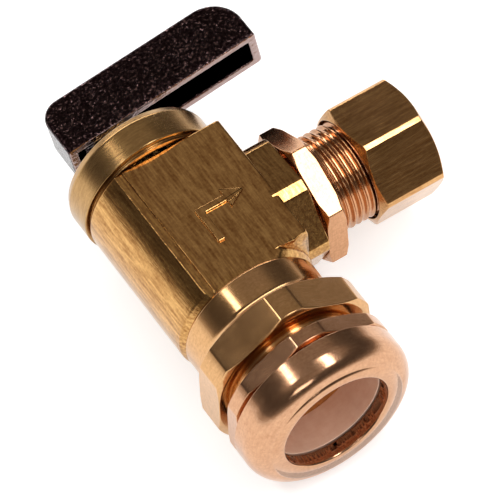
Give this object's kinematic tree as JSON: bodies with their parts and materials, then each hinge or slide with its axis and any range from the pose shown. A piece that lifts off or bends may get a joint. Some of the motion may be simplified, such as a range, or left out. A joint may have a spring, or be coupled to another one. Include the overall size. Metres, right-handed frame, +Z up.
{
  "type": "angle stop valve",
  "caption": "Quarter-turn angle stop valve: a ball valve with two compression tube ends at right angles and a small lever on the stem.",
  "frame": {"origin": "centre of the inlet nut's mouth, where the larger tube enters", "axes": "+Y along the body from the inlet to the lever, +X along the outlet away from the body, +Z up out of the flat face with the flow arrow"},
  "size_m": [0.0465, 0.0637, 0.0258],
  "materials": {
    "forged_brass": "forged then machined, soft shine",
    "turned_brass": "fine turned finish, bright",
    "nut_brass": "turned and tumbled, bright",
    "sleeve_brass": "smooth drawn finish",
    "stem_brass": "turned finish",
    "ball_chrome": "polished plating",
    "seat_plastic": "white low-friction plastic",
    "seal_rubber": "black moulded rubber",
    "lever_plating": "dark plating over a die casting",
    "steel": "plain steel, machined"
  },
  "bodies": {
    "valve": {"valve_body": "forged_brass", "inlet_adapter": "turned_brass", "inlet_adapter_oring": "seal_rubber", "inlet_seat": "seat_plastic", "upper_seat": "seat_plastic", "outlet_seat": "seat_plastic", "outlet_adapter": "turned_brass", "outlet_adapter_oring": "seal_rubber", "bonnet_cap": "turned_brass", "bonnet_oring": "seal_rubber", "thrust_washer": "seat_plastic"},
    "control": {"ball": "ball_chrome", "stem": "stem_brass", "stem_oring_lower": "seal_rubber", "stem_oring_upper": "seal_rubber", "stop_plate": "steel", "stem_nut": "steel", "handle": "lever_plating", "handle_washer": "steel", "handle_screw": "steel"},
    "inlet_sleeve": {"inlet_ferrule": "sleeve_brass"},
    "inlet_nut_turning": {"inlet_nut": "nut_brass"},
    "outlet_sleeve": {"outlet_ferrule": "sleeve_brass"},
    "outlet_nut_turning": {"outlet_nut": "nut_brass"}
  },
  "joints": [
    {"name": "lever_turn", "type": "hinge", "parent": "valve", "child": "control", "pos_m": [0, 0.05, 0], "axis": [0, -1, 0], "range_deg": [-8, 82]},
    {"name": "inlet_sleeve_travel", "type": "slide", "parent": "valve", "child": "inlet_sleeve", "axis": [0, -1, 0], "range_m": [0, 0.00423]},
    {"name": "inlet_nut_turn", "type": "hinge", "parent": "inlet_sleeve", "child": "inlet_nut_turning", "pos_m": [0, 0.004, 0], "axis": [0, -1, 0], "range_deg": [0, 1080]},
    {"name": "outlet_sleeve_travel", "type": "slide", "parent": "valve", "child": "outlet_sleeve", "axis": [1, 0, 0], "range_m": [0, 0.00317]},
    {"name": "outlet_nut_turn", "type": "hinge", "parent": "outlet_sleeve", "child": "outlet_nut_turning", "pos_m": [0.028, 0.0329, 0], "axis": [1, 0, 0], "range_deg": [0, 1080]}
  ],
  "couplings": [
    {"joint": "inlet_nut_turn", "follows": "inlet_sleeve_travel", "rad_per_m": 4453},
    {"joint": "outlet_nut_turn", "follows": "outlet_sleeve_travel", "rad_per_m": 5938.7}
  ]
}
